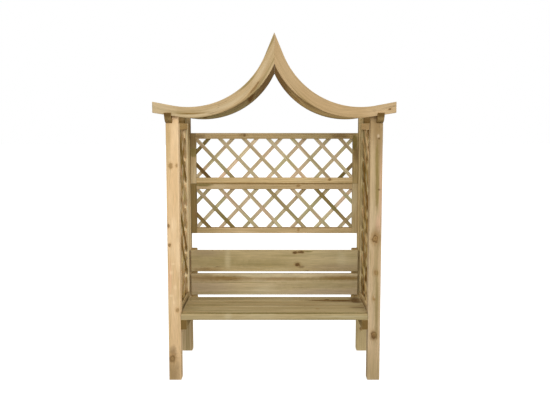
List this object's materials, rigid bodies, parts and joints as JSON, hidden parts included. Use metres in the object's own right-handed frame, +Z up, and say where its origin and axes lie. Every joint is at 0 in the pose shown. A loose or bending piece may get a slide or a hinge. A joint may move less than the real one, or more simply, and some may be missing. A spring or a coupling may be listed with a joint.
{
  "type": "arbour seat",
  "caption": "Timber garden arbour seat: bench and boarded backrest between square posts, trellis sides and back, and an open roof of paired ogee arches.",
  "frame": {"origin": "centre of the whole object's footprint box, on the ground under the posts", "axes": "+Z up; the open front of the seat faces -Y; +X to the right as seen from the front"},
  "size_m": [1.386, 0.782, 2.026],
  "materials": {
    "post_pine": "planed pressure-treated pine, warm tan with knots",
    "arch_pine": "band-sawn and planed pressure-treated pine",
    "rail_pine": "planed pressure-treated pine with dark end grain",
    "frame_pine": "planed pressure-treated pine, olive tan",
    "lath_pine": "thin sawn laths, from pale to olive",
    "board_pine": "planed pressure-treated boards, olive tan",
    "bearer_pine": "planed pressure-treated pine, brown, with dark end grain"
  },
  "bodies": {
    "root": {"arch_back_left": "arch_pine", "arch_back_right": "arch_pine", "arch_front_left": "arch_pine", "arch_front_right": "arch_pine", "back_panel_lower_bottom_rail": "frame_pine", "back_panel_lower_lattice": "lath_pine", "back_panel_lower_left_stile": "frame_pine", "back_panel_lower_right_stile": "frame_pine", "back_panel_lower_top_rail": "frame_pine", "back_panel_upper_bottom_rail": "frame_pine", "back_panel_upper_lattice": "lath_pine", "back_panel_upper_left_stile": "frame_pine", "back_panel_upper_right_stile": "frame_pine", "back_panel_upper_top_rail": "frame_pine", "backrest_batten_left": "bearer_pine", "backrest_batten_right": "bearer_pine", "backrest_board_lower": "board_pine", "backrest_board_upper": "board_pine", "post_back_left": "post_pine", "post_back_right": "post_pine", "post_front_left": "post_pine", "post_front_right": "post_pine", "seat_bearer_left": "bearer_pine", "seat_bearer_right": "bearer_pine", "seat_board_back": "board_pine", "seat_board_front": "board_pine", "seat_board_middle": "board_pine", "seat_front_strip": "board_pine", "side_panel_left_back_stile": "frame_pine", "side_panel_left_bottom_rail": "frame_pine", "side_panel_left_front_stile": "frame_pine", "side_panel_left_lattice": "lath_pine", "side_panel_left_top_rail": "frame_pine", "side_panel_right_back_stile": "frame_pine", "side_panel_right_bottom_rail": "frame_pine", "side_panel_right_front_stile": "frame_pine", "side_panel_right_lattice": "lath_pine", "side_panel_right_top_rail": "frame_pine", "side_top_rail_left": "rail_pine", "side_top_rail_right": "rail_pine"}
  },
  "joints": []
}
